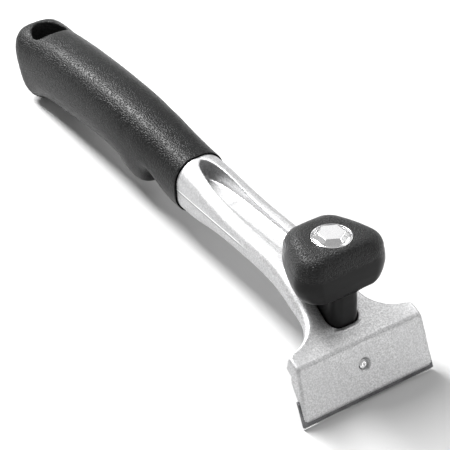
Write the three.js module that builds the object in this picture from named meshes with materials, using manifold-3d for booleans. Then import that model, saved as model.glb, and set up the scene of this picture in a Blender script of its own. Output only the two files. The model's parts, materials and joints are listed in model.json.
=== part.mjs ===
// Two-handed floor scraper: die-cast body, moulded handle, palm knob, and a blade clamped behind the face.
// Millimetres. +X runs from the tail of the handle to the blade, +Y to the tool's left, +Z up.
// The shapes are drawn in the tool frame, where the knob's axis is Z and the cutting edge is at z = 0.
// The whole tool is then tilted a little, so that it lies on its cutting edge and its tail.
import * as THREE from "three";
import { mergeVertices } from "three/addons/utils/BufferGeometryUtils.js";
import Module from "manifold-3d";

const wasm = await Module();
wasm.setup();

// ---------------------------------------------------------------- driving dimensions
const GAP = 0.3; // between pieces that rest on one another

const BLADE_WIDTH = 65;
const BLADE_DEPTH = 12;
const BLADE_THICK = 1.5;
const BLADE_LEAN = 23; // degrees between the blade and the knob's axis
const EDGE_X = 25; // the cutting edge, forward of the knob's axis
const BEVEL = 1.1;
const LIP = 2.3; // how far the blade stands out below the casting

const RIM_X = -97; // where the neck leaves the handle
const RIDGE_X = 19.6;
const RIDGE_Z = 25.4;
const FACE_FOOT_X = 26.2;
const FACE_FOOT_Z = 2.6;
const SCREW_UP = 15.8; // the clamp screw's axis, up the blade plane from the cutting edge

const CHANNEL_HALF = 5.4;
const CHANNEL_FLOOR = 43;
const POCKET_FLOOR = 27;
const POCKET_GAP = 0.4;
const PAD_WALL = 2; // round the pocket, where it comes through the underside
const PAD_THICK = 3.6;
const BOSS_FOOT = 17.5;

const KNOB_BASE = 45;
const KNOB_TOP = 66.2;
const BOLT_HEAD_R = 7.75;
const BOLT_R = 4;
const BOLT_PITCH = 1.25;
const BUSH_R = 5;
const BUSH_FLANGE_R = 8.4;

const HOLE_X = -227.5; // the widest part of the hanging hole, where it opens on top
const HOLE_FRONT = 6.1; // from there towards the blade
const HOLE_BACK = 9.6; // and towards the tail
const HOLE_HALF = 8.5;
const HOLE_LEAN = 0.3; // the hole runs down and forward, like the tail's end face
const HOLE_MOUTH_Z = 57;

const REST_TILT = 5.204; // degrees, tail down, so that the cutting edge and the tail lie on one plane
const FRAME_X = 110.09; // the frame's origin is under the middle of the tool
const FRAME_Z = -2.268;

// ---------------------------------------------------------------- solids
function solidOf(geometry) {
  const bare = geometry.index ? geometry.clone() : geometry;
  bare.deleteAttribute("normal");
  bare.deleteAttribute("uv");
  const merged = mergeVertices(bare, 1e-4);
  return new wasm.Manifold(
    new wasm.Mesh({
      numProp: 3,
      vertProperties: new Float32Array(merged.attributes.position.array),
      triVerts: new Uint32Array(merged.index.array),
    }),
  );
}

function geometryOf(solid) {
  const mesh = solid.getMesh();
  const positions = new Float32Array(mesh.numVert * 3);
  for (let i = 0; i < mesh.numVert; i++) {
    positions.set(mesh.vertProperties.subarray(i * mesh.numProp, i * mesh.numProp + 3), i * 3);
  }
  const geometry = new THREE.BufferGeometry();
  geometry.setAttribute("position", new THREE.BufferAttribute(positions, 3));
  geometry.setIndex(new THREE.BufferAttribute(new Uint32Array(mesh.triVerts), 1));
  const flat = geometry.toNonIndexed();
  flat.computeVertexNormals();
  return flat;
}

// A closed skin through rings of the same number of points, with a flat cap at each end.
function loft(rings) {
  const n = rings[0].length;
  const points = rings.flat();
  const faces = [];
  for (let k = 0; k + 1 < rings.length; k++) {
    for (let i = 0; i < n; i++) {
      const j = (i + 1) % n;
      const a = k * n + i;
      const b = k * n + j;
      const c = (k + 1) * n + j;
      const d = (k + 1) * n + i;
      faces.push(a, b, c, a, c, d);
    }
  }
  for (const [start, flip] of [[0, true], [(rings.length - 1) * n, false]]) {
    const centre = points.length;
    const middle = new THREE.Vector3();
    for (let i = 0; i < n; i++) middle.add(points[start + i]);
    points.push(middle.divideScalar(n));
    for (let i = 0; i < n; i++) {
      const a = start + i;
      const b = start + ((i + 1) % n);
      faces.push(centre, ...(flip ? [b, a] : [a, b]));
    }
  }
  const geometry = new THREE.BufferGeometry().setFromPoints(points);
  geometry.setIndex(faces);
  const solid = solidOf(geometry);
  if (solid.volume() > 0) return solid;
  for (let i = 0; i < faces.length; i += 3) [faces[i + 1], faces[i + 2]] = [faces[i + 2], faces[i + 1]];
  geometry.setIndex(faces);
  return solidOf(geometry);
}

// A prism through a plan outline [x, y] from z0 to z1.
function prism(outline, z0, z1) {
  const shape = new THREE.Shape(outline.map(([x, y]) => new THREE.Vector2(x, y)));
  const geometry = new THREE.ExtrudeGeometry(shape, { depth: z1 - z0, bevelEnabled: false });
  geometry.translate(0, 0, z0);
  return solidOf(geometry);
}

// A prism through a side outline [x, z] from y0 to y1.
function sidePrism(outline, y0, y1) {
  const shape = new THREE.Shape(outline.map(([x, z]) => new THREE.Vector2(x, z)));
  const geometry = new THREE.ExtrudeGeometry(shape, { depth: y1 - y0, bevelEnabled: false });
  geometry.rotateX(Math.PI / 2);
  geometry.translate(0, y1, 0);
  return solidOf(geometry);
}

// A turned solid about an axis that starts at `from` and points along `axis`.
// Profile rows are [radius, height].
function turned(profile, from, axis, segments = 32) {
  const rows = profile.map(([r, h]) => new THREE.Vector2(r, h));
  const geometry = new THREE.LatheGeometry(rows, segments);
  const latheAxis = new THREE.Vector3(0, 1, 0);
  const turn = new THREE.Quaternion().setFromUnitVectors(latheAxis, axis.clone().normalize());
  geometry.applyQuaternion(turn);
  geometry.translate(from.x, from.y, from.z);
  const solid = solidOf(geometry);
  if (solid.volume() > 0) return solid;
  return turned([...profile].reverse(), from, axis, segments);
}

function rod(radius, from, axis, length, segments = 32) {
  return turned([[0, 0], [radius, 0], [radius, length], [0, length]], from, axis, segments);
}

const rad = (degrees) => (degrees * Math.PI) / 180;
const at = (x, y, z) => new THREE.Vector3(x, y, z);
const UP = at(0, 0, 1);
const ACROSS = at(0, 1, 0);

// Smooth value at x through rows [x, value], by a monotone cubic.
function through(rows, x) {
  if (x <= rows[0][0]) return rows[0][1];
  const last = rows.length - 1;
  if (x >= rows[last][0]) return rows[last][1];
  let k = 0;
  while (x > rows[k + 1][0]) k++;
  const slope = (i) => (rows[i + 1][1] - rows[i][1]) / (rows[i + 1][0] - rows[i][0]);
  const tangent = (i) => {
    if (i === 0) return slope(0);
    if (i === last) return slope(last - 1);
    const a = slope(i - 1);
    const b = slope(i);
    return a * b <= 0 ? 0 : (2 * a * b) / (a + b);
  };
  const h = rows[k + 1][0] - rows[k][0];
  const t = (x - rows[k][0]) / h;
  const p = rows[k][1];
  const q = rows[k + 1][1];
  return (
    p * (1 + 2 * t) * (1 - t) ** 2 +
    h * tangent(k) * t * (1 - t) ** 2 +
    q * t * t * (3 - 2 * t) -
    h * tangent(k + 1) * t * t * (1 - t)
  );
}

// ---------------------------------------------------------------- the blade plane
// A point `up` the blade's back face from the cutting edge and `front` of that face.
const lean = rad(BLADE_LEAN);
const bladeUp = [-Math.sin(lean), Math.cos(lean)];
const bladeFront = [Math.cos(lean), Math.sin(lean)];
const onBlade = (up, front) => [
  EDGE_X + bladeUp[0] * up + bladeFront[0] * front,
  bladeUp[1] * up + bladeFront[1] * front,
];
const onBlade3 = (up, front, y = 0) => {
  const [x, z] = onBlade(up, front);
  return at(x, y, z);
};
const CLAMP_AXIS = at(bladeFront[0], 0, bladeFront[1]);
// How far the casting's face is in front of the blade's back face, at a height up the blade plane.
function faceFront(up) {
  const [ax, az] = onBlade(up, 0);
  const dx = FACE_FOOT_X - RIDGE_X;
  const dz = FACE_FOOT_Z - RIDGE_Z;
  return ((RIDGE_X - ax) * dz - (RIDGE_Z - az) * dx) / (bladeFront[0] * dz - bladeFront[1] * dx);
}

// ---------------------------------------------------------------- body casting
// One station of the body: a rounded rectangle whose middle line runs from `top` to `bottom` in the side
// view, and whose sides stand `spread` further out at the bottom. With a `bevel`, the two upper corners are
// flat chamfers that wide instead of round.
const RING = 10; // points on each corner
function bodyRing([topX, topZ], [bottomX, bottomZ], half, corner, spread = 0, bevel = 0) {
  const height = Math.hypot(topX - bottomX, topZ - bottomZ);
  const r = Math.min(corner, height / 2 - 0.02, half - 0.02);
  const ux = (topX - bottomX) / height;
  const uz = (topZ - bottomZ) / height;
  const ring = [];
  const centres = [
    [half - r, height - r, 0],
    [-(half - r), height - r, 90],
    [-(half - r), r, 180],
    [half - r, r, 270],
  ];
  for (const [cy, ch, start] of centres) {
    for (let i = 0; i < RING; i++) {
      const share = i / (RING - 1);
      const angle = rad(start + 90 * share);
      let y = cy + r * Math.cos(angle);
      let h = ch + r * Math.sin(angle);
      if (bevel > 0 && start < 180) {
        const inwards = start === 0 ? share : 1 - share;
        y = Math.sign(cy) * (half - bevel * inwards);
        h = height - 0.55 * bevel * (1 - inwards);
      }
      const draft = Math.sign(y) * spread * (1 - h / height);
      ring.push(at(bottomX + ux * h, y + draft, bottomZ + uz * h));
    }
  }
  return ring;
}

// The neck's upper and lower edge, half width and corner radius, as rows of [x, value].
const NECK_TOP = [
  [-97, 53.2], [-88, 51.8], [-80, 50], [-72, 48.2], [-64, 46.9], [-56, 46.1], [-46, 45.5], [-36, 45.1],
  [-30, 44.8], [-24, 43.9], [-16, 41.5], [-8, 37.6], [-2, 34.4], [2, 32.5], [8, 30.2], [13.4, 28],
];
const NECK_BOTTOM = [
  [-97, 26.9], [-88, 27.8], [-80, 29.2], [-72, 31], [-64, 32.2], [-56, 32.7], [-46, 33], [-36, 32.8],
  [-24, 31.8], [-16, 30.2], [-8, 28], [-2, 25.9], [2, 24.4], [8, 22.4], [13.4, 20.9],
];
const NECK_HALF = [
  [-97, 12.1], [-80, 12.3], [-56, 12.5], [-36, 12.7], [-24, 13], [-16, 13.5], [-10, 14.1], [-4, 14.4],
];
const NECK_CORNER = [
  [-97, 10.5], [-80, 8], [-64, 6], [-46, 5], [-16, 4.4], [-2, 3.6], [13, 2.4],
];
const FLARE_R = 16.6; // the concave sweep between the neck and the head's corner
const FLARE_X = -4.4;
const FLARE_Y = 31;
const CORNER_HALF = 31.2;
const FACE_BEVEL = 1.3; // along the face's two upright edges and its foot

function headHalf(x) {
  if (x <= FLARE_X) return Math.min(through(NECK_HALF, x), FLARE_Y - FLARE_R);
  const dx = Math.min(x - FLARE_X, FLARE_R);
  return FLARE_Y - Math.sqrt(Math.max(FLARE_R ** 2 - dx ** 2, 0));
}

function neckStations() {
  const rings = [];
  for (let x = RIM_X; x < -38; x += 4) rings.push(x);
  for (let x = -37; x <= -7; x += 3) rings.push(x);
  for (let angle = 1; angle <= 86; angle += 7) rings.push(FLARE_X + FLARE_R * Math.sin(rad(angle)));
  return rings.map((x) => {
    const lag = Math.max(0, (x - 2) / 12); // the lower edge falls behind as the plate turns down
    const top = [x, through(NECK_TOP, x)];
    const bottom = [x - 1.8 * lag, through(NECK_BOTTOM, x)];
    return bodyRing(top, bottom, headHalf(x), through(NECK_CORNER, x));
  });
}

function faceStations() {
  const rings = [];
  const turn = [
    [[13.4, 28.1], [11.6, 20.9], CORNER_HALF - 0.1, 0],
    [[16.2, 27], [12.9, 20.5], CORNER_HALF, 0.1],
    [[18.2, 26.1], [14.1, 20], CORNER_HALF, 0.3],
    [[19.3, 25.2], [15.2, 19.8], CORNER_HALF, 0.5],
    [[20, 23.9], onBlade(20.7, -1.7), CORNER_HALF + 0.1, 0.6],
  ];
  for (const [top, bottom, half, spread] of turn) rings.push(bodyRing(top, bottom, half, 1.6, spread));
  const levels = [19.5, 17, 14.5, BLADE_DEPTH + 0.2, 9, 6, LIP + FACE_BEVEL, LIP + 0.5, LIP];
  for (const up of levels) {
    const flange = -1.7 * Math.max(0, Math.min(1, (up - BLADE_DEPTH) / 7));
    const lowest = Math.max(0, LIP + FACE_BEVEL - up) / FACE_BEVEL;
    const half = 32.4 - (up - LIP) * 0.055 - lowest;
    const corner = up > BLADE_DEPTH ? 1.2 : 0.9;
    const spread = 0.035 * (up - LIP);
    const face = onBlade(up, faceFront(up) - 0.3 * lowest);
    rings.push(bodyRing(face, onBlade(up, flange), half, corner, spread, FACE_BEVEL));
  }
  return rings;
}

function bodyOuter() {
  return loft([...neckStations(), ...faceStations()]);
}

// The channel on top of the neck: straight sides that close to a point near the handle.
function channelOutline(half, tip, length, front) {
  const side = [];
  for (let i = 0; i <= 10; i++) {
    const t = i / 10;
    side.push([tip + length * t, half * Math.sqrt(1 - (1 - t) ** 2.2)]);
  }
  const near = side.slice(1).map(([x, y]) => [x, -y]);
  return [side[0], ...near, [front, -half], [front, half], ...side.slice(1).reverse()];
}

// The pocket and the stem share one outline: a rounded trapezoid, wider towards the blade.
function trapezoid(back, front, backHalf, frontHalf, r, grow = 0) {
  const corners = [
    [front, frontHalf],
    [back, backHalf],
    [back, -backHalf],
    [front, -frontHalf],
  ];
  const outline = [];
  corners.forEach((corner, i) => {
    const before = corners[(i + 3) % 4];
    const after = corners[(i + 1) % 4];
    const a = new THREE.Vector2(before[0] - corner[0], before[1] - corner[1]).normalize();
    const b = new THREE.Vector2(after[0] - corner[0], after[1] - corner[1]).normalize();
    const half = Math.acos(a.dot(b)) / 2;
    const middle = a.clone().add(b).normalize();
    const reach = r / Math.sin(half);
    const cx = corner[0] + middle.x * reach;
    const cy = corner[1] + middle.y * reach;
    const out = Math.atan2(-middle.y, -middle.x);
    const sweep = Math.PI / 2 - half;
    for (let k = 0; k <= 6; k++) {
      const angle = out - sweep + (2 * sweep * k) / 6;
      outline.push([cx + (r + grow) * Math.cos(angle), cy + (r + grow) * Math.sin(angle)]);
    }
  });
  return outline;
}

const STEM = { back: -10.5, front: 10.8, backHalf: 5, frontHalf: 7.4, r: 4.6 };
const stemOutline = (grow) => trapezoid(STEM.back, STEM.front, STEM.backHalf, STEM.frontHalf, STEM.r, grow);

function ringAt(outline, z) {
  return outline.map(([x, y]) => at(x, y, z));
}

// ---- tang, inside the handle
const TANG_TAIL = -198;
const TANG_HALF = 5.5;
const TANG_TALL = 4;
const SPINE = [
  [-246, 38.4], [-236, 39.8], [-226, 41.5], [-209, 43.4], [-191, 44.6], [-173, 45.2], [-154, 45.2],
  [-135, 44], [-115, 42], [-97, 40.1],
];

function tang(grow, tail) {
  const rings = [];
  for (let k = 0; k <= 8; k++) {
    const x = tail + ((RIM_X + 4 - tail) * k) / 8;
    const z = through(SPINE, x);
    rings.push(bodyRing([x, z + TANG_TALL + grow], [x, z - TANG_TALL - grow], TANG_HALF + grow, 2 + grow));
  }
  return loft(rings);
}

// ---- blade seat and clamp
const SEAT_HALF = BLADE_WIDTH / 2 + 1;
const STOP_UP = BLADE_DEPTH + 0.15;
const CLAMP_THICK = 4;
const CLAMP_HALF = 26;
const CLAMP_BACK = -(CLAMP_THICK + GAP);
const CLAMP_LOW = 3.2;
const CLAMP_HIGH = 20.2;
const SCREW_R = 2;
const SCREW_BOSS_R = 3.6;
const SCREW_BOSS_OUT = 2.6;
const WASHER_THICK = 1.2;
const WASHER_R = 5.5;
const SCREW_HEAD_R = 3.8;
const SCREW_HEAD_THICK = 3;

function bodyCasting() {
  let body = bodyOuter();
  const channelTop = 60;
  body = body.subtract(prism(channelOutline(CHANNEL_HALF, -95, 26, -13), CHANNEL_FLOOR, channelTop));
  const panel = [[-70.6, -3.1], [-20, -3.1], [-20, 3.1], [-70.6, 3.1]];
  body = body.subtract(prism(panel, CHANNEL_FLOOR - 0.4, channelTop));
  body = body.subtract(prism(channelOutline(7, -90, 24, -30), 20, 35.5));
  // pocket for the knob's stem, with a pad under it, and a boss for the knob's bolt under the pad
  body = body.add(prism(stemOutline(POCKET_GAP + PAD_WALL), POCKET_FLOOR - PAD_THICK, POCKET_FLOOR + 2));
  body = body.subtract(prism(stemOutline(POCKET_GAP), POCKET_FLOOR, 60));
  body = body.add(rod(7, at(0, 0, BOSS_FOOT), UP, POCKET_FLOOR - 2 - BOSS_FOOT));
  body = body.subtract(rod(BOLT_R + 0.15, at(0, 0, 10), UP, 30));
  // blade seat, a step one blade thickness deep, less what the clamp has to squeeze
  const seat = [
    onBlade(-3, -6), onBlade(-3, BLADE_THICK + 0.1),
    onBlade(STOP_UP, BLADE_THICK + 0.1), onBlade(STOP_UP, -6),
  ];
  body = body.subtract(sidePrism(seat, -SEAT_HALF, SEAT_HALF));
  // flat behind the face for the clamp plate, between the two side flanges
  const bed = [
    onBlade(STOP_UP - 1, -7), onBlade(STOP_UP - 1, 0),
    onBlade(CLAMP_HIGH + 0.4, 0), onBlade(CLAMP_HIGH + 0.4, -7),
  ];
  body = body.subtract(sidePrism(bed, -CLAMP_HALF - 0.5, CLAMP_HALF + 0.5));
  // boss round the clamp screw, its bore, and the countersink at the face
  body = body.add(rod(SCREW_BOSS_R, onBlade3(SCREW_UP, -SCREW_BOSS_OUT), CLAMP_AXIS, SCREW_BOSS_OUT + 2));
  body = body.subtract(rod(SCREW_R + 0.12, onBlade3(SCREW_UP, -6), CLAMP_AXIS, 14, 28));
  const face = faceFront(SCREW_UP);
  const sink = [[0, -1], [SCREW_R + 0.12, -1], [SCREW_R + 0.8, 0], [SCREW_R + 0.8, 3], [0, 3]];
  body = body.subtract(turned(sink, onBlade3(SCREW_UP, face - 0.5), CLAMP_AXIS, 28));
  // tang with the two pin holes
  body = body.add(tang(0, TANG_TAIL));
  for (const x of TANG_PIN_X) body = body.subtract(pinHole(x));
  return body;
}

// ---------------------------------------------------------------- handle
const PIN_R = 2;
const TANG_PIN_X = [-118, -186];
const pinZ = (x) => through(SPINE, x);
const pinHole = (x) => rod(PIN_R + 0.15, at(x, -20, pinZ(x)), ACROSS, 40, 20);
const SKIN = 2.6; // thickness of the soft outer skin
const CORE_TAIL = -207; // ahead of the hanging hole, where the soft skin fills the whole tail

const TAIL_X = -239.6;
// The handle's upper and lower edge and half width, as rows of [x, value]; the lower edge has the bump and
// the notch for the first finger.
const HANDLE_TOP = [
  [-239.6, 53.2], [-239.1, 54.6], [-237.9, 56], [-235.6, 57], [-232, 57.5], [-226, 58], [-215, 59.2],
  [-200, 60.3], [-180, 60.7], [-160, 60.4], [-140, 59.3], [-120, 57], [-104, 54.8], [-96.4, 54],
];
const HANDLE_BOTTOM = [
  [-239.6, 26.6], [-239.1, 25], [-237.9, 23.8], [-236, 23], [-233.4, 22.8], [-230, 23.8], [-222, 25.2],
  [-205, 27.2], [-185, 28.8], [-168, 29.8], [-156, 29.6], [-149.6, 28.6], [-144.8, 26.2], [-141, 23.6],
  [-138.4, 22.2], [-135.6, 21.7], [-132.6, 22.6], [-129.4, 26], [-126, 31.6], [-122.4, 34.8],
  [-118, 33.4], [-112.4, 29.2], [-106.6, 26.5], [-101, 25.7], [-96.4, 25.9],
];
const HANDLE_HALF = [
  [-239.6, 10.6], [-239.1, 12.3], [-237.9, 13.7], [-235.6, 15], [-232, 15.4], [-220, 15.4], [-205, 15.2],
  [-180, 14.9], [-150, 14.5], [-128, 13.8], [-116, 13.2], [-104, 13.1], [-96.4, 13.2],
];
const TAIL_RAKE = 0.4; // the end face leans forward towards its foot
const HANDLE_POWER = 2.35; // between an ellipse (2) and a rectangle

function handleRing(x, inset) {
  const top = through(HANDLE_TOP, x) - inset;
  const bottom = through(HANDLE_BOTTOM, x) + inset;
  const half = through(HANDLE_HALF, x) - inset;
  const middle = Math.min(through(SPINE, x), (top + bottom) / 2 + 3);
  const rake = TAIL_RAKE * Math.max(0, Math.min(1, (-205 - x) / 35));
  const ring = [];
  const count = 36;
  // squarer shoulders at the tail
  const square = HANDLE_POWER + 0.7 * Math.max(0, Math.min(1, (-222 - x) / 16));
  for (let i = 0; i < count; i++) {
    const angle = (2 * Math.PI * i) / count;
    const c = Math.cos(angle);
    const s = Math.sin(angle);
    const reach = (Math.abs(c) ** square + Math.abs(s) ** square) ** (-1 / square);
    const tall = s > 0 ? top - middle : middle - bottom;
    const z = middle + tall * s * reach;
    ring.push(at(x + rake * (middle + 7.75 - z), half * c * reach, z));
  }
  return ring;
}

function handleOuter(inset, tail, front) {
  const xs = [];
  for (const x of [-239.5, -239.1, -238.4, -237.2, -235.4, -233, -230, -226.5, -222, -217]) xs.push(x);
  for (let x = -212; x < -160; x += 8) xs.push(x);
  for (let x = -157; x < -117; x += 2.5) xs.push(x);
  for (let x = -115; x <= -97.5; x += 3.5) xs.push(x);
  xs.push(-96.4);
  const kept = xs.filter((x) => x > tail + 0.5 && x < front - 0.5);
  return loft([tail, ...kept, front].map((x) => handleRing(x, inset)));
}

// The hanging hole: a blunt curve towards the blade and a pointed arch towards the tail.
function holeOutline() {
  const outline = [];
  const count = 48;
  for (let i = 0; i < count; i++) {
    const angle = (2 * Math.PI * (i + 0.5)) / count;
    const s = Math.sin(angle);
    const along = s > 0 ? HOLE_FRONT * s ** 0.6 : -HOLE_BACK * (-s) ** 1.4;
    outline.push([HOLE_X + along, HOLE_HALF * Math.cos(angle)]);
  }
  return outline;
}

function hangingHole() {
  const low = 0;
  const high = 80;
  const level = (z) => holeOutline().map(([x, y]) => at(x + HOLE_LEAN * (HOLE_MOUTH_Z - z), y, z));
  return loft([level(low), level(high)]);
}

function handleCore() {
  let core = handleOuter(SKIN + GAP, CORE_TAIL, -100);
  core = core.subtract(tang(GAP, TANG_TAIL - GAP));
  const mouth = [[-103, -15], [RIM_X + 5, -15], [RIM_X + 5, 15], [-103, 15]];
  core = core.subtract(prism(mouth, 10, 70));
  for (const x of TANG_PIN_X) core = core.subtract(pinHole(x));
  return core;
}

function handleGrip() {
  let grip = handleOuter(0, TAIL_X, -96.4);
  grip = grip.subtract(handleOuter(SKIN, CORE_TAIL - GAP, -99));
  // bore at the front for the neck
  const neck = [];
  for (const x of [-104, -101, -97, -94]) {
    const top = through(NECK_TOP, x) + GAP + 0.2;
    const bottom = through(NECK_BOTTOM, x) - GAP - 0.2;
    neck.push(bodyRing([x, top], [x, bottom], through(NECK_HALF, x) + GAP + 0.2, 10.7));
  }
  grip = grip.subtract(loft(neck));
  grip = grip.subtract(hangingHole());
  return grip;
}

function tangPin(x) {
  const length = 19;
  const profile = [
    [0, 0], [PIN_R - 0.4, 0], [PIN_R, 0.6], [PIN_R, length - 0.6], [PIN_R - 0.4, length], [0, length],
  ];
  return turned(profile, at(x, -length / 2, pinZ(x)), ACROSS, 20);
}

// ---------------------------------------------------------------- knob
const KNOB = { back: -18.9, front: 12.8, backHalf: 11.8, frontHalf: 22.7, r: 7, bulge: 2.4, middle: -2.5 };
// Rows of [height above the base, width, length], the last two as shares of the plan at its waist.
const KNOB_SIDES = [
  [0, 0.785, 0.945], [0.35, 0.83, 0.965], [1.1, 0.875, 0.98], [2.6, 0.925, 0.99], [5, 0.972, 1],
  [8, 1, 1], [11, 0.99, 0.995], [13.2, 0.965, 0.985],
];
const LAND_R = 9; // round flat under the bush's flange

// The knob's plan at its waist: a rounded trapezoid with convex sides.
function knobPlan() {
  return trapezoid(KNOB.back, KNOB.front, KNOB.backHalf, KNOB.frontHalf, KNOB.r).map(([x, y]) => {
    const along = (2 * (x - KNOB.back)) / (KNOB.front - KNOB.back) - 1;
    return [x, y + (y / KNOB.frontHalf) * KNOB.bulge * (1 - along * along)];
  });
}

function knobBody() {
  const waist = knobPlan();
  const stem = (grow, z) => ringAt(stemOutline(grow), z);
  const stemBottom = POCKET_FLOOR + GAP;
  const rings = [
    stem(-0.7, stemBottom),
    stem(0, stemBottom + 0.8),
    stem(0.2, KNOB_BASE - 2),
    stem(0.6, KNOB_BASE - 0.7),
    stem(1.6, KNOB_BASE),
  ];
  for (const [rise, wide, long] of KNOB_SIDES) {
    rings.push(waist.map(([x, y]) => at(KNOB.middle + (x - KNOB.middle) * long, y * wide, KNOB_BASE + rise)));
  }
  // domed top: each ring is a share of the way from the round land to the shoulder
  const [rise, wide, long] = KNOB_SIDES[KNOB_SIDES.length - 1];
  const shoulder = waist.map(([x, y]) => [KNOB.middle + (x - KNOB.middle) * long, y * wide]);
  const drop = KNOB_TOP - KNOB_BASE - rise;
  for (const share of [0.97, 0.91, 0.82, 0.7, 0.55, 0.38, 0.2, 0]) {
    const z = KNOB_TOP - drop * (1 - (1 - share ** 3.2) ** 0.52);
    rings.push(shoulder.map(([x, y]) => {
      const far = Math.hypot(x, y);
      const reach = (LAND_R + (far - LAND_R) * share) / far;
      return at(x * reach, y * reach, z);
    }));
  }
  let knob = loft(rings);
  knob = knob.subtract(rod(BUSH_FLANGE_R + 0.15, at(0, 0, KNOB_TOP - 2.2), UP, 6, 40));
  knob = knob.subtract(rod(BUSH_R + GAP, at(0, 0, 20), UP, 60));
  return knob;
}

function knobBush() {
  const bottom = POCKET_FLOOR + 0.1;
  const seat = KNOB_TOP - 1.9;
  const bore = BOLT_R + 0.25;
  const profile = [
    [bore, bottom], [BUSH_R, bottom], [BUSH_R, seat], [BUSH_FLANGE_R, seat], [BUSH_FLANGE_R, KNOB_TOP + 0.15],
    [BOLT_HEAD_R + GAP, KNOB_TOP + 0.15], [BOLT_HEAD_R + GAP, seat + 1], [bore, seat + 1], [bore, bottom],
  ];
  return turned(profile, at(0, 0, 0), UP, 40);
}

function knobBolt() {
  const seat = KNOB_TOP - 1.9 + 1 + 0.05;
  const foot = 18.2;
  const shank = [
    [0, foot], [BOLT_R - 0.8, foot], [BOLT_R, foot + 0.8], [BOLT_R, seat],
    [BOLT_HEAD_R, seat], [BOLT_HEAD_R, KNOB_TOP + 0.1], [0, KNOB_TOP + 0.1],
  ];
  const bolt = turned(shank, at(0, 0, 0), UP, 48);
  // low six-sided crown: bevels run from the round rim up to a flat hexagon
  const crown = [0, 1, 2].map((k) => {
    const ring = (r, z, rim) => {
      const points = [];
      for (let i = 0; i < 48; i++) {
        const angle = (2 * Math.PI * i) / 48;
        const inSide = (angle % (Math.PI / 3)) - Math.PI / 6;
        const reach = rim ? r : r / Math.cos(inSide);
        points.push(at(reach * Math.cos(angle), reach * Math.sin(angle), z));
      }
      return points;
    };
    if (k === 0) return ring(BOLT_HEAD_R - 0.35, KNOB_TOP - 0.2, true);
    if (k === 1) return ring(BOLT_HEAD_R - 0.35, KNOB_TOP + 0.2, true);
    return ring(4.8, KNOB_TOP + 2, false);
  });
  return bolt.add(loft(crown));
}

// ---------------------------------------------------------------- clamp and blade
function bladeSolid() {
  const outline = [
    onBlade(0, 0), onBlade(BEVEL, BLADE_THICK),
    onBlade(BLADE_DEPTH - BEVEL, BLADE_THICK), onBlade(BLADE_DEPTH, 0),
  ];
  return sidePrism(outline, -BLADE_WIDTH / 2, BLADE_WIDTH / 2);
}

function clampPlate() {
  const outline = [
    onBlade(CLAMP_LOW, -GAP / 3), onBlade(BLADE_DEPTH + 0.4, -GAP / 3), onBlade(BLADE_DEPTH + 1.2, -0.9),
    onBlade(CLAMP_HIGH - 3, -0.9), onBlade(CLAMP_HIGH - 2.4, -GAP / 3), onBlade(CLAMP_HIGH, -GAP / 3),
    onBlade(CLAMP_HIGH, CLAMP_BACK + 1), onBlade(CLAMP_HIGH - 1, CLAMP_BACK),
    onBlade(CLAMP_LOW + 6, CLAMP_BACK), onBlade(CLAMP_LOW, CLAMP_BACK + 2.6),
  ];
  let plate = sidePrism(outline, -CLAMP_HALF, CLAMP_HALF);
  plate = plate.subtract(rod(SCREW_BOSS_R + 0.4, onBlade3(SCREW_UP, -10), CLAMP_AXIS, 12));
  return plate;
}

function clampWasher() {
  const inner = SCREW_R + 0.3;
  const profile = [[inner, 0], [WASHER_R, 0], [WASHER_R, WASHER_THICK], [inner, WASHER_THICK], [inner, 0]];
  return turned(profile, onBlade3(SCREW_UP, CLAMP_BACK - 0.1 - WASHER_THICK), CLAMP_AXIS, 32);
}

function clampScrew() {
  const under = CLAMP_BACK - 0.2 - WASHER_THICK;
  const reach = faceFront(SCREW_UP) - under - 0.1;
  const top = -SCREW_HEAD_THICK;
  const profile = [
    [0, top], [SCREW_HEAD_R - 0.6, top], [SCREW_HEAD_R, top + 0.6], [SCREW_HEAD_R, 0], [SCREW_R, 0],
    [SCREW_R, reach - 0.6], [SCREW_R - 0.5, reach], [0, reach],
  ];
  let screw = turned(profile, onBlade3(SCREW_UP, under), CLAMP_AXIS, 28);
  const socket = rod(1.8, onBlade3(SCREW_UP, under + top - 1), CLAMP_AXIS, 3, 6);
  screw = screw.subtract(socket);
  return screw;
}

// ---------------------------------------------------------------- scene
const finish = {
  aluminium: { color: 0xd2d4d5, roughness: 0.45, metalness: 0.9 },
  steel: { color: 0xe6e7e8, roughness: 0.18, metalness: 1 },
  zinc: { color: 0xb4b7ba, roughness: 0.35, metalness: 0.95 },
  skin: { color: 0x3f4040, roughness: 0.7, metalness: 0 },
  core: { color: 0x202122, roughness: 0.5, metalness: 0 },
  knob: { color: 0x2b2b2c, roughness: 0.5, metalness: 0 },
  blade: { color: 0x55585a, roughness: 0.35, metalness: 0.9 },
};

const tool = new THREE.Group();
tool.name = "tool";
tool.rotation.y = -rad(REST_TILT);
tool.position.set(FRAME_X, 0, FRAME_Z);

function place(name, solid, look) {
  const mesh = new THREE.Mesh(geometryOf(solid), new THREE.MeshStandardMaterial(look));
  mesh.name = name;
  tool.add(mesh);
}

place("body_casting", bodyCasting(), finish.aluminium);
place("handle_core", handleCore(), finish.core);
place("handle_grip", handleGrip(), finish.skin);
place("tang_pin_front", tangPin(TANG_PIN_X[0]), finish.zinc);
place("tang_pin_rear", tangPin(TANG_PIN_X[1]), finish.zinc);
place("knob_body", knobBody(), finish.knob);
place("knob_bush", knobBush(), finish.steel);
place("knob_bolt", knobBolt(), finish.steel);
place("blade", bladeSolid(), finish.blade);
place("clamp_plate", clampPlate(), finish.zinc);
place("clamp_washer", clampWasher(), finish.zinc);
place("clamp_screw", clampScrew(), finish.steel);

const scraper = new THREE.Group();
scraper.name = "floor_scraper";
scraper.add(tool);
export default scraper;
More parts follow.
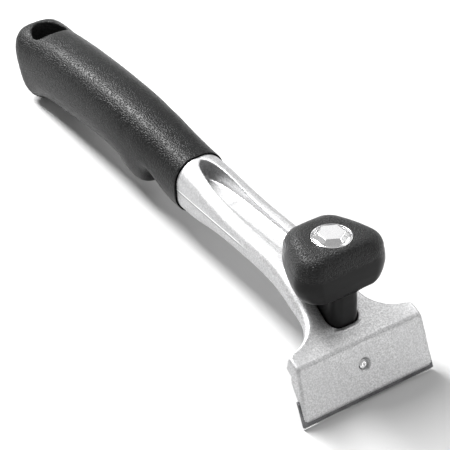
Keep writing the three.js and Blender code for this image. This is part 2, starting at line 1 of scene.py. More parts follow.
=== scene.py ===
"""A two-handed pull scraper for floors, shown on a pale floor.

The pieces are made in the tool's own frame, in millimetres: the knob's axis is Z, the blade's cutting
edge is at z = 0, and +X runs from the tail of the handle to the blade. TOOL places that frame in the
row frame, from the joint of the knob's bolt.
"""
import json
import math

import bmesh
import bpy
from mathutils import Matrix, Quaternion, Vector


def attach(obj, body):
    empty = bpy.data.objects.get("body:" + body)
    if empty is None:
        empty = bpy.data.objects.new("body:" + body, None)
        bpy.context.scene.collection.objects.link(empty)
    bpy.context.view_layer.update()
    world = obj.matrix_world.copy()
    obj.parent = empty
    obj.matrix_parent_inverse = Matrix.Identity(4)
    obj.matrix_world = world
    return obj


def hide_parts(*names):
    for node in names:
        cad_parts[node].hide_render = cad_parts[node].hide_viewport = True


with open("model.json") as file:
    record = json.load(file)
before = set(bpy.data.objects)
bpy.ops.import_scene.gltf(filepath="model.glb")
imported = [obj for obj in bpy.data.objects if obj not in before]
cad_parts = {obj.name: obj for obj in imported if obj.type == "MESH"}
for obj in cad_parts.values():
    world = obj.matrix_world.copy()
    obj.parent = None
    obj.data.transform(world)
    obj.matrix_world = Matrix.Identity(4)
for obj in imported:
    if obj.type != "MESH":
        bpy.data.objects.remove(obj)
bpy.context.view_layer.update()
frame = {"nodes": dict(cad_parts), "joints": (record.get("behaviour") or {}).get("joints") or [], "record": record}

MM = 0.001
GAP = 0.3

# ---------------------------------------------------------------- the tool's own frame
joint = {j["name"]: j for j in frame["joints"]}
knob_axis = Vector(joint["knob_bolt_turn"]["axis"]).normalized()
BOLT_JOINT_Z = 60.0
tool_origin = Vector(joint["knob_bolt_turn"]["pos_m"]) - knob_axis * BOLT_JOINT_Z * MM
tool_x = Vector((0, 1, 0)).cross(knob_axis)
TOOL = Matrix.Translation(tool_origin) @ Matrix((tool_x, (0, 1, 0), knob_axis)).transposed().to_4x4()
TO_TOOL = TOOL.inverted()

# ---------------------------------------------------------------- shared sizes, mm
BLADE_LEAN = math.radians(23)
EDGE_X = 25.0
SCREW_UP = 15.8
KNOB_BASE = 45.0
KNOB_TOP = 66.2
BUSH_R = 5.0
BUSH_FLANGE_R = 8.4
BOLT_HEAD_R = 7.75
BOLT_R = 4.0
BOLT_PITCH = 1.25
BOLT_FOOT = 18.2
POCKET_FLOOR = 27.0


# ---------------------------------------------------------------- mesh helpers
def through(rows, x):
    """Smooth value at x through rows (x, value), by a monotone cubic."""
    if x <= rows[0][0]:
        return rows[0][1]
    if x >= rows[-1][0]:
        return rows[-1][1]
    k = 0
    while x > rows[k + 1][0]:
        k += 1

    def slope(i):
        return (rows[i + 1][1] - rows[i][1]) / (rows[i + 1][0] - rows[i][0])

    def tangent(i):
        if i == 0:
            return slope(0)
        if i == len(rows) - 1:
            return slope(i - 1)
        a, b = slope(i - 1), slope(i)
        return 0 if a * b <= 0 else 2 * a * b / (a + b)

    h = rows[k + 1][0] - rows[k][0]
    t = (x - rows[k][0]) / h
    return (
        rows[k][1] * (1 + 2 * t) * (1 - t) ** 2
        + h * tangent(k) * t * (1 - t) ** 2
        + rows[k + 1][1] * t * t * (3 - 2 * t)
        - h * tangent(k + 1) * t * t * (1 - t)
    )


def piece(name, bm, place=TOOL):
    """A new object from a bmesh drawn in millimetres, with its place in the row frame."""
    bmesh.ops.scale(bm, vec=(MM, MM, MM), verts=bm.verts)
    bmesh.ops.recalc_face_normals(bm, faces=bm.faces)
    mesh = bpy.data.meshes.new(name)
    bm.to_mesh(mesh)
    bm.free()
    mesh.shade_smooth()
    obj = bpy.data.objects.new(name, mesh)
    bpy.context.scene.collection.objects.link(obj)
    obj.matrix_world = place
    return obj


def skin_rings(rings, close=False):
    """A bmesh through rings of (x, y, z) points.

    With close the last ring joins the first; without it the two ends are capped.
    """
    bm = bmesh.new()
    rows = [[bm.verts.new(p) for p in ring] for ring in rings]
    count = len(rows[0])
    pairs = list(zip(rows, rows[1:]))
    if close:
        pairs.append((rows[-1], rows[0]))
    for a, b in pairs:
        for i in range(count):
            j = (i + 1) % count
            bm.faces.new((a[i], a[j], b[j], b[i]))
    if not close:
        bm.faces.new(rows[0])
        bm.faces.new(list(reversed(rows[-1])))
    return bm


def turned(profile, segments=96, close=True):
    """A bmesh turned about Z from a closed profile of (radius, z)."""
    rings = []
    for r, z in profile:
        r = max(r, 1e-4)
        rings.append([(r * math.cos(t), r * math.sin(t), z) for t in
                      (2 * math.pi * i / segments for i in range(segments))])
    return skin_rings(rings, close)


def softened(profile, radius, steps=4, closed=True):
    """The profile with each corner rounded by an arc-like curve of the given size."""
    out = []
    n = len(profile)
    for i, p in enumerate(profile):
        if not closed and i in (0, n - 1):
            out.append(p)
            continue
        a, c = Vector(profile[i - 1]), Vector(profile[(i + 1) % n])
        p = Vector(p)
        r = min(radius, (a - p).length * 0.45, (c - p).length * 0.45)
        start = p + (a - p).normalized() * r
        end = p + (c - p).normalized() * r
        for k in range(steps + 1):
            t = k / steps
            q = start * (1 - t) ** 2 + p * 2 * t * (1 - t) + end * t * t
            out.append((q.x, q.y))
    return out


def modifier(obj, kind, **settings):
    """Adds one modifier and applies it."""
    mod = obj.modifiers.new(kind.lower(), kind)
    for key, value in settings.items():
        setattr(mod, key, value)
    graph = bpy.context.evaluated_depsgraph_get()
    mesh = bpy.data.meshes.new_from_object(obj.evaluated_get(graph))
    obj.modifiers.clear()
    old = obj.data
    obj.data = mesh
    bpy.data.meshes.remove(old)
    obj.data.shade_smooth()
    return obj


def cut(obj, tool, operation="DIFFERENCE"):
    modifier(obj, "BOOLEAN", object=tool, operation=operation, solver="EXACT")
    bpy.data.objects.remove(tool)
    return obj


def remeshed(obj, voxel, passes):
    """One even skin over the piece, with its edges rounded by `passes` rounds of smoothing."""
    modifier(obj, "REMESH", mode="VOXEL", voxel_size=voxel * MM)
    modifier(obj, "SMOOTH", factor=0.5, iterations=passes)
    return obj


def from_node(node, name):
    """A copy of a CAD node's mesh, welded and brought into the tool's frame."""
    bm = bmesh.new()
    bm.from_mesh(frame["nodes"][node].data)
    bmesh.ops.remove_doubles(bm, verts=bm.verts, dist=2e-6)
    bmesh.ops.transform(bm, matrix=Matrix.Scale(1 / MM, 4) @ TO_TOOL, verts=bm.verts)
    return piece(name, bm)


def body_of_node(node):
    for body, members in frame["record"]["behaviour"]["bodies"].items():
        if node in members:
            return body
    raise KeyError(node)


def finish_piece(obj, node, material):
    """The piece stands for its CAD node, rides with its body and takes its slot and material.

    Its place goes into its mesh, so that its own box is square to the row frame.
    """
    obj.data.transform(obj.matrix_world)
    obj.matrix_world = Matrix.Identity(4)
    obj.data.materials.clear()
    obj.data.materials.append(material)
    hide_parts(node)
    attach(obj, body_of_node(node))
    return obj


# ---------------------------------------------------------------- material helpers
class Nodes:
    """A short way to lay out a material's nodes."""

    def __init__(self, name):
        self.material = bpy.data.materials.new(name)
        self.material.use_nodes = True
        self.tree = self.material.node_tree
        self.shader = self.tree.nodes["Principled BSDF"]
        coordinates = self.tree.nodes.new("ShaderNodeTexCoord")
        to_tool = self.tree.nodes.new("ShaderNodeMapping")
        to_tool.inputs["Location"].default_value = TO_TOOL.translation / MM
        to_tool.inputs["Rotation"].default_value = TO_TOOL.to_euler()
        to_tool.inputs["Scale"].default_value = (1 / MM, 1 / MM, 1 / MM)
        self.link(coordinates.outputs["Object"], to_tool.inputs["Vector"])
        self.mm = to_tool.outputs["Vector"]  # millimetres in the tool's own frame

    def link(self, a, b):
        self.tree.links.new(a, b)

    def put(self, value, socket):
        if isinstance(value, (int, float)):
            socket.default_value = value
        else:
            self.link(value, socket)

    def math(self, operation, a, b=0.0, c=0.0, clamp=False):
        node = self.tree.nodes.new("ShaderNodeMath")
        node.operation = operation
        node.use_clamp = clamp
        for value, socket in zip((a, b, c), node.inputs):
            self.put(value, socket)
        return node.outputs[0]

    def axis(self, name):
        if not hasattr(self, "_split"):
            self._split = self.tree.nodes.new("ShaderNodeSeparateXYZ")
            self.link(self.mm, self._split.inputs[0])
        return self._split.outputs[name]

    def stretched(self, x, y, z):
        node = self.tree.nodes.new("ShaderNodeVectorMath")
        node.operation = "MULTIPLY"
        self.link(self.mm, node.inputs[0])
        node.inputs[1].default_value = (x, y, z)
        return node.outputs["Vector"]

    def noise(self, scale, detail=3.0, rough=0.5, vector=None):
        """Noise from 0 to 1; scale is in waves per millimetre."""
        node = self.tree.nodes.new("ShaderNodeTexNoise")
        self.link(vector or self.mm, node.inputs["Vector"])
        node.inputs["Scale"].default_value = scale
        node.inputs["Detail"].default_value = detail
        node.inputs["Roughness"].default_value = rough
        return node.outputs["Fac"]

    def cells(self, scale, spread=1.0):
        """Distance to the nearest cell centre; scale is in cells per millimetre."""
        node = self.tree.nodes.new("ShaderNodeTexVoronoi")
        self.link(self.mm, node.inputs["Vector"])
        node.inputs["Scale"].default_value = scale
        node.inputs["Randomness"].default_value = spread
        return node.outputs["Distance"]

    def band(self, value, low, high, to_low=0.0, to_high=1.0):
        """A smooth step from to_low to to_high as value goes from low to high."""
        node = self.tree.nodes.new("ShaderNodeMapRange")
        node.interpolation_type = "SMOOTHSTEP"
        self.put(value, node.inputs["Value"])
        for key, number in (("From Min", low), ("From Max", high), ("To Min", to_low), ("To Max", to_high)):
            node.inputs[key].default_value = number
        return node.outputs["Result"]

    def mix(self, factor, a, b):
        node = self.tree.nodes.new("ShaderNodeMix")
        node.data_type = "RGBA"
        self.put(factor, node.inputs["Factor"])
        for colour, socket in ((a, node.inputs[6]), (b, node.inputs[7])):
            if isinstance(colour, tuple):
                socket.default_value = (*colour, 1)
            else:
                self.link(colour, socket)
        return node.outputs[2]

    def bump(self, height, distance, strength=1.0, after=None):
        """A bump `distance` millimetres high."""
        node = self.tree.nodes.new("ShaderNodeBump")
        node.inputs["Strength"].default_value = strength
        node.inputs["Distance"].default_value = distance * MM
        self.link(height, node.inputs["Height"])
        if after is not None:
            self.link(after, node.inputs["Normal"])
        return node.outputs["Normal"]

    def finish(self, colour=None, roughness=None, normal=None, **plain):
        for value, key in ((colour, "Base Color"), (roughness, "Roughness"), (normal, "Normal")):
            if value is None:
                continue
            if isinstance(value, tuple):
                self.shader.inputs[key].default_value = (*value, 1)
            else:
                self.put(value, self.shader.inputs[key])
        for key, value in plain.items():
            self.shader.inputs[key.replace("_", " ")].default_value = value
        return self.material


def grey(value, tint=(1.0, 1.0, 1.0)):
    return tuple(value * t for t in tint)


# ---------------------------------------------------------------- materials
def cast_aluminium():
    """Blasted die casting: a grainy satin surface, faint flow marks, a parting line along the neck with a painted
    highlight on it and painted shade just below it.
    """
    n = Nodes("cast_aluminium")
    grain = n.noise(1.5, 3, 0.65)
    coarse = n.noise(0.35, 3, 0.5)
    flow = n.noise(0.06, 2, 0.5, n.stretched(0.4, 1, 1))
    tone = n.mix(n.band(grain, 0.3, 0.72), grey(0.41, (1, 1, 1.01)), grey(0.71, (1, 1, 1.005)))
    tone = n.mix(n.band(flow, 0.35, 0.7, 0, 0.35), tone, grey(0.52, (1, 1.003, 1.012)))
    # parting line on both sides of the neck, from the handle's rim to the middle of the neck: a small ridge with a
    # painted highlight along it and a line of painted shade just below it
    x, z = n.axis("X"), n.axis("Z")
    middle = n.math("MULTIPLY_ADD", x, -0.012, 40.1)
    off = n.math("ABSOLUTE", n.math("SUBTRACT", z, middle))
    stretch = n.math("MULTIPLY", n.band(x, -98, -96), n.band(x, -52, -40, 1, 0))
    seam_ridge_and_highlight = n.math("MULTIPLY", n.band(off, 0.12, 0.4, 1, 0), stretch)
    under = n.math("ABSOLUTE", n.math("ADD", n.math("SUBTRACT", z, middle), 0.7))
    painted_shade_below_seam = n.math("MULTIPLY", n.band(under, 0.1, 0.4, 1, 0), stretch)
    # painted highlight: the parting line's ridge is coloured near-white
    tone = n.mix(seam_ridge_and_highlight, tone, grey(0.98))
    # painted shade: a dark line just below the parting line, where no groove is modelled
    tone = n.mix(n.math("MULTIPLY", painted_shade_below_seam, 0.7), tone, grey(0.2))
    normal = n.bump(grain, 0.10, 0.6)
    normal = n.bump(coarse, 0.10, 0.35, normal)
    normal = n.bump(seam_ridge_and_highlight, 0.2, 0.9, normal)
    roughness = n.band(n.noise(1.2, 3), 0.3, 0.7, 0.46, 0.58)
    return n.finish(tone, roughness, normal, Metallic=1.0)


def grip_skin():
    """Soft moulded skin with a fine stipple, a little polished where the palm rests."""
    n = Nodes("grip_skin")
    stipple = n.cells(1.3)
    fine = n.noise(1.7, 3, 0.6)
    wear = n.noise(0.03, 1, 0.4)
    tone = n.mix(n.band(wear, 0.3, 0.75), grey(0.0040, (1, 1, 1.0)), grey(0.0060, (0.97, 1.01, 1.02)))
    tone = n.mix(n.band(fine, 0.35, 0.75, 0, 0.5), tone, grey(0.015, (0.97, 1.01, 1.02)))
    tone = n.mix(n.band(stipple, 0.15, 0.6, 0.5, 0), tone, grey(0.014, (0.97, 1.01, 1.02)))
    normal = n.bump(n.band(stipple, 0.1, 0.65), 0.16, 0.8)
    normal = n.bump(fine, 0.07, 0.5, normal)
    roughness = n.band(wear, 0.3, 0.7, 0.37, 0.33)
    return n.finish(tone, roughness, normal, Metallic=0.0, Specular_IOR_Level=0.17)


def core_plastic():
    n = Nodes("core_plastic")
    fine = n.noise(0.8, 3)
    tone = n.mix(n.band(fine, 0.3, 0.7), grey(0.014), grey(0.024))
    return n.finish(tone, n.band(fine, 0.3, 0.7, 0.42, 0.58), n.bump(fine, 0.05, 0.3))


def knob_plastic():
    """Hard plastic: smooth on the sides, with a spark-eroded grain over the top and its shoulders, where the
    colour is lighter and flecked: partly the grain's own tone, partly a painted sheen.
    """
    n = Nodes("knob_plastic")
    z = n.axis("Z")
    edge = n.noise(0.5, 2)
    height = n.math("MULTIPLY_ADD", edge, 3.0, z)
    top = n.band(height, 57.2, 60.2)
    grain = n.cells(1.25)
    fine = n.noise(1.6, 3, 0.65)
    smooth_grain = n.noise(0.7, 3)
    # the grained top is coloured lighter, with light flecks: partly the grain's tone, partly a painted sheen
    tone = n.mix(n.band(fine, 0.35, 0.7, 0, 0.8), grey(0.006), grey(0.035, (0.98, 1.0, 1.01)))
    tone = n.mix(top, grey(0.0055, (1, 1, 1.04)), tone)
    roughness = n.math("MULTIPLY_ADD", top, 0.02, n.band(smooth_grain, 0.3, 0.7, 0.28, 0.36))
    relief = n.math("MULTIPLY", n.band(grain, 0.08, 0.6), top)
    normal = n.bump(relief, 0.24, 0.95)
    normal = n.bump(n.math("MULTIPLY", fine, n.math("MULTIPLY_ADD", top, 0.95, 0.05)), 0.21, 0.9, normal)
    return n.finish(tone, roughness, normal, Specular_IOR_Level=0.2)


def bright_steel():
    """Bright plated steel with faint turning marks and small scratches."""
    n = Nodes("bright_steel")
    marks = n.noise(1.8, 4, 0.7)
    scratch = n.noise(0.9, 2, 0.5, n.stretched(0.15, 2.5, 1))
    tone = n.mix(n.band(marks, 0.3, 0.75), grey(0.80, (1, 1, 1.01)), grey(0.92))
    roughness = n.band(marks, 0.3, 0.75, 0.12, 0.22)
    normal = n.bump(scratch, 0.004, 0.3)
    return n.finish(tone, roughness, normal, Metallic=1.0)


def zinc_steel():
    """Zinc-plated steel, slightly cloudy."""
    n = Nodes("zinc_steel")
    cloud = n.noise(0.22, 4, 0.6)
    fine = n.noise(2.2, 3, 0.6)
    tone = n.mix(n.band(cloud, 0.3, 0.7), grey(0.46, (1, 1, 1.03)), grey(0.62, (1.01, 1, 0.97)))
    return n.finish(tone, n.band(fine, 0.3, 0.7, 0.3, 0.45), n.bump(fine, 0.03, 0.4), Metallic=0.95)


def blade_steel():
    """Dark hardened blade, with grinding lines across the bright bevels."""
    n = Nodes("blade_steel")
    x, z = n.axis("X"), n.axis("Z")
    lean = BLADE_LEAN
    up = n.math("ADD", n.math("MULTIPLY", n.math("SUBTRACT", x, EDGE_X), -math.sin(lean)),
                n.math("MULTIPLY", z, math.cos(lean)))
    edge = n.band(up, 0.75, 1.15, 1, 0)
    lines = n.noise(1.0, 3, 0.6, n.stretched(0.3, 14, 0.3))
    cloud = n.noise(0.3, 3, 0.6)
    tone = n.mix(n.band(cloud, 0.3, 0.7), grey(0.10, (1, 1, 1.04)), grey(0.17, (1, 1, 1.03)))
    tone = n.mix(edge, tone, grey(0.55))
    roughness = n.math("MULTIPLY_ADD", edge, -0.08, n.band(lines, 0.3, 0.7, 0.32, 0.44))
    return n.finish(tone, roughness, n.bump(lines, 0.02, 0.5), Metallic=0.9)


MATERIALS = {
    "cast_aluminium": cast_aluminium(),
    "grip_skin": grip_skin(),
    "core_plastic": core_plastic(),
    "knob_plastic": knob_plastic(),
    "bright_steel": bright_steel(),
    "zinc_steel": zinc_steel(),
    "blade_steel": blade_steel(),
}


# ---------------------------------------------------------------- the handle
TAIL_X = -239.6
RIM_X = -96.4
TAIL_RAKE = 0.4
HANDLE_POWER = 2.35
HANDLE_TOP = [(-239.6, 53.2), (-239.1, 54.6), (-237.9, 56), (-235.6, 57), (-232, 57.5), (-226, 58),
              (-215, 59.2), (-200, 60.3), (-180, 60.7), (-160, 60.4), (-140, 59.3), (-120, 57),
              (-104, 54.8), (-96.4, 54)]
HANDLE_BOTTOM = [(-239.6, 26.6), (-239.1, 25), (-237.9, 23.8), (-236, 23), (-233.4, 22.8), (-230, 23.8),
                 (-222, 25.2), (-205, 27.2), (-185, 28.8), (-168, 29.8), (-156, 29.6), (-149.6, 28.6),
                 (-144.8, 26.2), (-141, 23.6), (-138.4, 22.2), (-135.6, 21.7), (-132.6, 22.6), (-129.4, 26),
                 (-126, 31.6), (-122.4, 34.8), (-118, 33.4), (-112.4, 29.2), (-106.6, 26.5), (-101, 25.7),
                 (-96.4, 25.9)]
HANDLE_HALF = [(-239.6, 10.6), (-239.1, 12.3), (-237.9, 13.7), (-235.6, 15), (-232, 15.4), (-220, 15.4),
               (-205, 15.2), (-180, 14.9), (-150, 14.5), (-128, 13.8), (-116, 13.2), (-104, 13.1),
               (-96.4, 13.2)]
SPINE = [(-246, 38.4), (-236, 39.8), (-226, 41.5), (-209, 43.4), (-191, 44.6), (-173, 45.2), (-154, 45.2),
         (-135, 44), (-115, 42), (-97, 40.1)]
AROUND = 144
HOLE_X = -227.5
HOLE_FRONT = 6.1
HOLE_BACK = 9.6
HOLE_HALF = 8.5
HOLE_LEAN = 0.3
HOLE_MOUTH_Z = 57.0


def handle_section(x, inset=0.0):
    top = through(HANDLE_TOP, x) - inset
    bottom = through(HANDLE_BOTTOM, x) + inset
    half = through(HANDLE_HALF, x) - inset
    middle = min(through(SPINE, x), (top + bottom) / 2 + 3)
    rake = TAIL_RAKE * max(0.0, min(1.0, (-205 - x) / 35))
    power = HANDLE_POWER + 0.7 * max(0.0, min(1.0, (-222 - x) / 16))
    ring = []
    for i in range(AROUND):
        c, s = math.cos(2 * math.pi * i / AROUND), math.sin(2 * math.pi * i / AROUND)
        reach = (abs(c) ** power + abs(s) ** power) ** (-1 / power)
        z = middle + (top - middle if s > 0 else middle - bottom) * s * reach
        ring.append(Vector((x + rake * (middle + 7.75 - z), half * c * reach, z)))
    return ring


def towards(ring, share, shift=0.0):
    """The ring drawn in towards its own middle, and moved along X."""
    middle = sum(ring, Vector()) / len(ring)
    return [middle + (p - middle) * share + Vector((shift, 0, 0)) for p in ring]


def neck_section(x, top, bottom, half, grow):
    """A rounded rectangle, at the same polar angles as the handle's sections."""
    ring = []
    middle = (top + bottom) / 2
    tall, wide = (top - bottom) / 2 + grow, half + grow
    r = min(10.7, wide - 0.05)
    for i in range(AROUND):
        angle = 2 * math.pi * i / AROUND
        c, s = math.cos(angle), math.sin(angle)
        low, high = 0.0, 40.0
        for _ in range(40):
            reach = (low + high) / 2
            dy = max(abs(c * reach) - (wide - r), 0)
            dz = max(abs(s * reach) - (tall - r), 0)
            inside = math.hypot(dy, dz) < r
            low, high = (reach, high) if inside else (low, reach)
        ring.append(Vector((x, c * low, middle + s * low)))
    return ring


def hole_outline(z, count=120):
    """The hanging hole at a height: a blunt curve towards the blade and a pointed arch towards the tail."""
    outline = []
    for i in range(count):
        angle = 2 * math.pi * (i + 0.5) / count
        turn = math.sin(angle)
        along = HOLE_FRONT * turn ** 0.6 if turn > 0 else -HOLE_BACK * (-turn) ** 1.4
        outline.append((HOLE_X + along + HOLE_LEAN * (HOLE_MOUTH_Z - z), HOLE_HALF * math.cos(angle), z))
    return outline


def handle_grip():
    first = handle_section(TAIL_X)
    rings = [towards(first, share, shift) for share, shift in
             ((0.02, -0.5), (0.25, -0.48), (0.5, -0.4), (0.7, -0.27), (0.86, -0.1), (0.95, -0.02))]
    xs = [TAIL_X + 3.6 * (k / 16) ** 2 for k in range(17)]
    while xs[-1] < RIM_X - 1.6:
        xs.append(xs[-1] + 0.9)
    rings += [handle_section(x) for x in xs]
    rounding = ((-1.0, 0), (-0.4, 0.02), (-0.12, 0.08), (0, 0.2))
    rings += [handle_section(RIM_X + dx, inset) for dx, inset in rounding]
    bore = (53.1, 27.0, 12.1)  # top, bottom and half width of the neck inside the rim
    lip = ((0, 0.5), (-0.12, 0.42), (-0.4, 0.36), (-1.2, 0.36))
    rings += [neck_section(RIM_X + dx, *bore, grow) for dx, grow in lip]
    grip = piece("grip", skin_rings(rings))
    cut(grip, piece("hole", skin_rings([hole_outline(0), hole_outline(80)])))
    return remeshed(grip, 0.42, 4)


# ---------------------------------------------------------------- the knob
STEM = {"back": -10.5, "front": 10.8, "back_half": 5.0, "front_half": 7.4, "r": 4.6}
KNOB = {"back": -18.9, "front": 12.8, "back_half": 11.8, "front_half": 22.7, "r": 7.0}
KNOB_BULGE = 2.4
KNOB_MIDDLE = -2.5
SHOULDER_RISE = 13.2  # from the knob's underside to where its sides turn in
KNOB_WIDE = [(0, 0.785), (0.35, 0.83), (1.1, 0.875), (2.6, 0.925), (5, 0.972), (8, 1), (11, 0.99),
             (SHOULDER_RISE, 0.965)]
KNOB_LONG = [(0, 0.945), (0.35, 0.965), (1.1, 0.98), (2.6, 0.99), (5, 1), (8, 1), (11, 0.995),
             (SHOULDER_RISE, 0.985)]
LAND_R = 9.0


def trapezoid(back, front, back_half, front_half, r, grow=0.0, steps=16, between=14):
    """A rounded trapezoid, wider towards the blade, as evenly filled points."""
    corners = [(front, front_half), (back, back_half), (back, -back_half), (front, -front_half)]
    arcs = []
    for i, corner in enumerate(corners):
        p = Vector(corner)
        a = (Vector(corners[i - 1]) - p).normalized()
        b = (Vector(corners[(i + 1) % 4]) - p).normalized()
        half = a.angle(b) / 2
        middle = (a + b).normalized()
        centre = p + middle * r / math.sin(half)
        out = math.atan2(-middle.y, -middle.x)
        sweep = math.pi / 2 - half
        arcs.append([centre + (r + grow) * Vector((math.cos(t), math.sin(t))) for t in
                     (out - sweep + 2 * sweep * k / steps for k in range(steps + 1))])
    outline = []
    for i, arc in enumerate(arcs):
        outline += arc
        nxt = arcs[(i + 1) % 4][0]
        outline += [arc[-1].lerp(nxt, k / between) for k in range(1, between)]
    return outline


def knob_body():
    waist = []
    for p in trapezoid(**KNOB):
        along = 2 * (p.x - KNOB["back"]) / (KNOB["front"] - KNOB["back"]) - 1
        waist.append(Vector((p.x, p.y + p.y / KNOB["front_half"] * KNOB_BULGE * (1 - along * along))))

    def level(outline, z):
        return [(p.x, p.y, z) for p in outline]

    def side(rise):
        wide, long = through(KNOB_WIDE, rise), through(KNOB_LONG, rise)
        return [Vector((KNOB_MIDDLE + (p.x - KNOB_MIDDLE) * long, p.y * wide)) for p in waist]

    def circle(r, z, like):
        return [(p.x * r / p.length, p.y * r / p.length, z) for p in like]

    stem = trapezoid(**STEM)
    foot = POCKET_FLOOR + GAP
    rings = [circle(BUSH_R + 2 * GAP, foot + 6, stem), circle(BUSH_R + GAP, foot, stem)]
    for grow, z in ((-0.6, foot), (-0.35, foot + 0.15), (-0.12, foot + 0.5), (0, foot + 1), (0.05, 33),
                    (0.1, 38), (0.2, 43), (0.35, 43.8), (0.7, 44.5), (1.2, 44.85), (1.7, KNOB_BASE)):
        rings.append(level(trapezoid(**STEM, grow=grow), z))
    base = side(0)
    rings.append(level([p * 0.97 for p in base], KNOB_BASE - 0.02))
    for k in range(49):
        rise = SHOULDER_RISE * (k / 48) ** 1.5
        rings.append(level(side(rise), KNOB_BASE + rise))
    shoulder = side(SHOULDER_RISE)
    drop = KNOB_TOP - KNOB_BASE - SHOULDER_RISE
    for k in range(1, 41):
        turn = math.pi / 2 * k / 40
        share = math.cos(turn) ** 0.9
        z = KNOB_TOP - drop * (1 - (1 - share ** 3.2) ** 0.52)
        rings.append([(p.x * f, p.y * f, z) for p in shoulder
                      for f in ((LAND_R + (p.length - LAND_R) * share) / p.length,)])
    lip = BUSH_FLANGE_R + 0.2
    for r, z in ((lip + 0.2, KNOB_TOP), (lip + 0.05, KNOB_TOP - 0.06), (lip, KNOB_TOP - 0.2),
                 (lip, KNOB_TOP - 2.2), (BUSH_R + GAP, KNOB_TOP - 2.2), (BUSH_R + 2 * GAP, foot + 7)):
        rings.append(circle(r, z, shoulder))
    return piece("knob", skin_rings(rings, close=True))


def knob_bush():
    seat = KNOB_TOP - 1.9
    bore = BOLT_R + 0.25
    bottom = POCKET_FLOOR + 0.1
    top = KNOB_TOP + 0.15
    inner = BOLT_HEAD_R + GAP
    profile = [(bore, bottom), (BUSH_R, bottom), (BUSH_R, seat), (BUSH_FLANGE_R, seat), (BUSH_FLANGE_R, top),
               (inner, top), (inner, seat + 1), (bore, seat + 1)]
    return piece("bush", turned(softened(profile, 0.12), 128))


def knob_bolt():
    """The bolt: a true helical thread, a round head, and a low six-sided crown with a flat top."""
    around = 96
    seat = KNOB_TOP - 0.85

    def turned_ring(r, z):
        return [(r * math.cos(2 * math.pi * i / around), r * math.sin(2 * math.pi * i / around), z)
                for i in range(around)]

    rings = [turned_ring(0.01, BOLT_FOOT)]
    thread_top = BOLT_FOOT + 22
    z = BOLT_FOOT
    while z < thread_top:
        ring = []
        for i in range(around):
            phase = (z / BOLT_PITCH - i / around) % 1.0
            depth = 0.62 * min(abs(2 * phase - 1) * 1.25, 1)
            run_in = min(1.0, (z - BOLT_FOOT) / 1.2)
            r = (BOLT_R - 0.02) - depth * min(1.0, (thread_top - z) / 1.5) - 0.7 * (1 - run_in)
            angle = 2 * math.pi * i / around
            ring.append((r * math.cos(angle), r * math.sin(angle), z))
        rings.append(ring)
        z += BOLT_PITCH / 8

    def crown_ring(flat, round_r, z):
        """The smaller of a hexagon and a circle at every angle, with a vertex between the bevels."""
        ring = []
        for i in range(around):
            angle = 2 * math.pi * i / around
            turn = (angle % (math.pi / 3)) - math.pi / 6
            r = min(flat / math.cos(turn), round_r)
            ring.append((r * math.cos(angle), r * math.sin(angle), z))
        return ring

    rings += [turned_ring(BOLT_R - 0.02, thread_top + 0.4), turned_ring(BOLT_R - 0.02, seat),
              turned_ring(BOLT_HEAD_R - 0.1, seat), turned_ring(BOLT_HEAD_R, seat + 0.1),
              turned_ring(BOLT_HEAD_R, KNOB_TOP - 0.15), turned_ring(BOLT_HEAD_R - 0.06, KNOB_TOP),
              turned_ring(BOLT_HEAD_R - 0.22, KNOB_TOP + 0.08),
              turned_ring(BOLT_HEAD_R - 0.42, KNOB_TOP + 0.1)]
    rise = 1.75
    for k in range(1, 13):
        share = k / 12
        flat = 7.05 - (7.05 - 4.95) * share
        rings.append(crown_ring(flat, BOLT_HEAD_R - 0.45, KNOB_TOP + 0.14 + rise * share))
    rings += [crown_ring(4.86, 9, KNOB_TOP + 0.19 + rise), crown_ring(4.6, 9, KNOB_TOP + 0.22 + rise),
              crown_ring(2.4, 9, KNOB_TOP + 0.22 + rise), crown_ring(0.02, 9, KNOB_TOP + 0.22 + rise)]
    return piece("bolt", skin_rings(rings))


# ---------------------------------------------------------------- blade, clamp and pins
def clamp_place():
    """The clamp screw's axis as Z, starting on the blade's back face."""
    x = EDGE_X - math.sin(BLADE_LEAN) * SCREW_UP
    z = math.cos(BLADE_LEAN) * SCREW_UP
    along = Vector((math.cos(BLADE_LEAN), 0, math.sin(BLADE_LEAN)))
    side = Vector((0, 1, 0))
    turn = Matrix((side, along.cross(side), along)).transposed().to_4x4()
    return TOOL @ Matrix.Translation(Vector((x, 0, z)) * MM) @ turn


SCREW_R = 2.0
SCREW_HEAD_R = 3.8
SCREW_HEAD = 3.0
WASHER_R = 5.5
WASHER_THICK = 1.2
CLAMP_BACK = -4.3
FACE_AHEAD = 3.35  # from the blade's back face to the casting's face, along the screw


def clamp_screw():
    under = CLAMP_BACK - 0.2 - WASHER_THICK
    head = under - SCREW_HEAD
    end = FACE_AHEAD - 0.2
    shank = [(0, head), (SCREW_HEAD_R, head), (SCREW_HEAD_R, under), (SCREW_R, under)]
    tip = [(SCREW_R, end - 0.5), (0.95, end), (0.75, end), (0, end - 0.4)]
    screw = piece("screw", turned(softened(shank + tip, 0.2, closed=False), 72, close=False), clamp_place())
    across = 1.6 / math.cos(math.pi / 6)
    socket = [(across, head - 1), (across, head + 2)]
    cut(screw, piece("socket", turned(socket, 6, close=False), clamp_place()))
    return screw


def clamp_washer():
    start = CLAMP_BACK - 0.1 - WASHER_THICK
    profile = [(SCREW_R + 0.3, start), (WASHER_R, start), (WASHER_R, start + WASHER_THICK),
               (SCREW_R + 0.3, start + WASHER_THICK)]
    return piece("washer", turned(softened(profile, 0.25)), clamp_place())


def bevelled(node, name, width):
    """The CAD node's own shape with fine rounded edges."""
    obj = from_node(node, name)
    modifier(obj, "BEVEL", width=width * MM, segments=3, limit_method="ANGLE", angle_limit=math.radians(28))
    return obj


